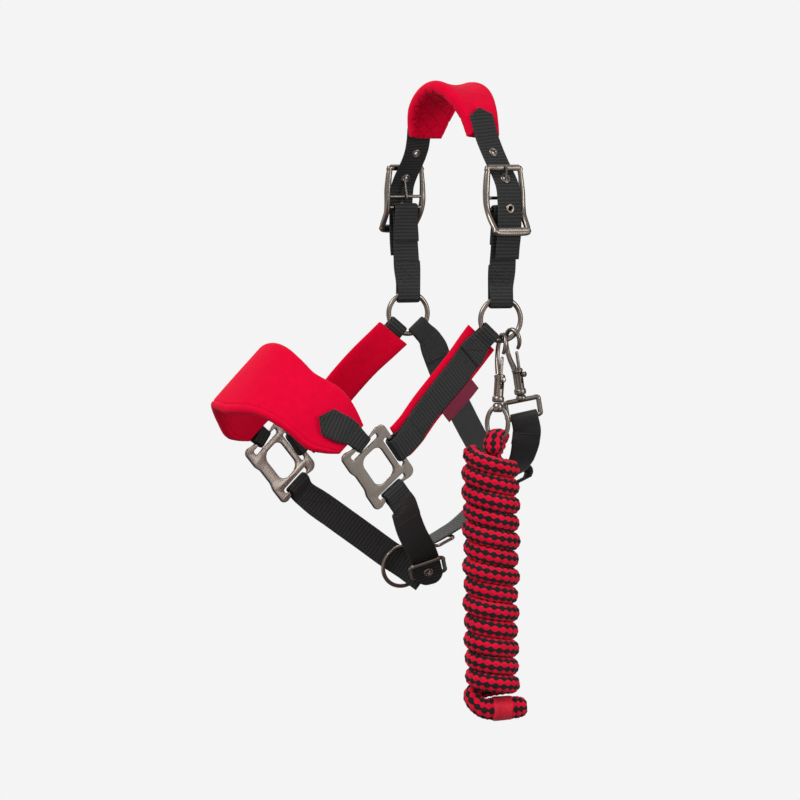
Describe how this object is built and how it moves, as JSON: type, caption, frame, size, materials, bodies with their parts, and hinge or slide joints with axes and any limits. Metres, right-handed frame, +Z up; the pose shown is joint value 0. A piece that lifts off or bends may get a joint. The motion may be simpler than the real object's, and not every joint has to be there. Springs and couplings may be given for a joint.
{
  "type": "horse headcollar with lead rope",
  "caption": "Padded webbing headcollar for a horse, shaped as worn, with side buckles, noseband plates, a throat snap and a rope lead hanked up under its bolt snap.",
  "frame": {"origin": "middle of the underside of the crown pad, where the horse's poll carries the headcollar", "axes": "+Z up, -Y the way the horse faces, +X the horse's near (left) side, where the throat snap and the lead hang"},
  "size_m": [0.2019, 0.3208, 0.5748],
  "materials": {
    "webbing": "black ribbed nylon webbing",
    "fleece": "short red fleece over foam",
    "gunmetal": "dark gunmetal plating, polished",
    "rope": "soft braided rope, red with dark flecks",
    "label": "plain woven tab"
  },
  "bodies": {
    "headcollar": {"buckle_far": "gunmetal", "buckle_near": "gunmetal", "cheek_lining_far": "fleece", "cheek_lining_near": "fleece", "cheekpiece_far": "webbing", "cheekpiece_near": "webbing", "chin_buckle": "gunmetal", "chin_eyelet": "gunmetal", "chin_ring": "gunmetal", "chin_strap_far": "webbing", "chin_strap_near": "webbing", "crown_eyelet_low_far": "gunmetal", "crown_eyelet_low_near": "gunmetal", "crown_eyelet_tongue_far": "gunmetal", "crown_eyelet_tongue_near": "gunmetal", "crown_eyelet_top_far": "gunmetal", "crown_eyelet_top_near": "gunmetal", "crown_pad": "fleece", "crown_strap_far": "webbing", "crown_strap_near": "webbing", "jaw_slide": "gunmetal", "jaw_strap": "webbing", "lead_eye": "gunmetal", "lead_snap_body": "gunmetal", "nose_pad": "fleece", "nose_strap_far": "webbing", "nose_strap_near": "webbing", "plate_far": "gunmetal", "plate_near": "gunmetal", "ring_far": "gunmetal", "ring_near": "gunmetal", "rope_end": "rope", "rope_eye": "rope", "rope_hank": "rope", "side_label": "label", "throat_eye": "gunmetal", "throat_snap_body": "gunmetal", "throat_strap": "webbing", "tongue_far": "gunmetal", "tongue_near": "gunmetal", "upper_cheek_strap_far": "webbing", "upper_cheek_strap_near": "webbing"},
    "lead_bolt": {"lead_snap_bolt": "gunmetal"},
    "throat_bolt": {"throat_snap_bolt": "gunmetal"}
  },
  "joints": [
    {"name": "lead_snap_slide", "type": "slide", "parent": "headcollar", "child": "lead_bolt", "axis": [0.0751, -0.1371, -0.9877], "range_m": [0, 0.006], "stiffness_N_per_m": 80, "springref_m": -0.008},
    {"name": "throat_snap_slide", "type": "slide", "parent": "headcollar", "child": "throat_bolt", "axis": [-0.0333, 0.1963, -0.98], "range_m": [0, 0.006], "stiffness_N_per_m": 80, "springref_m": -0.008}
  ]
}
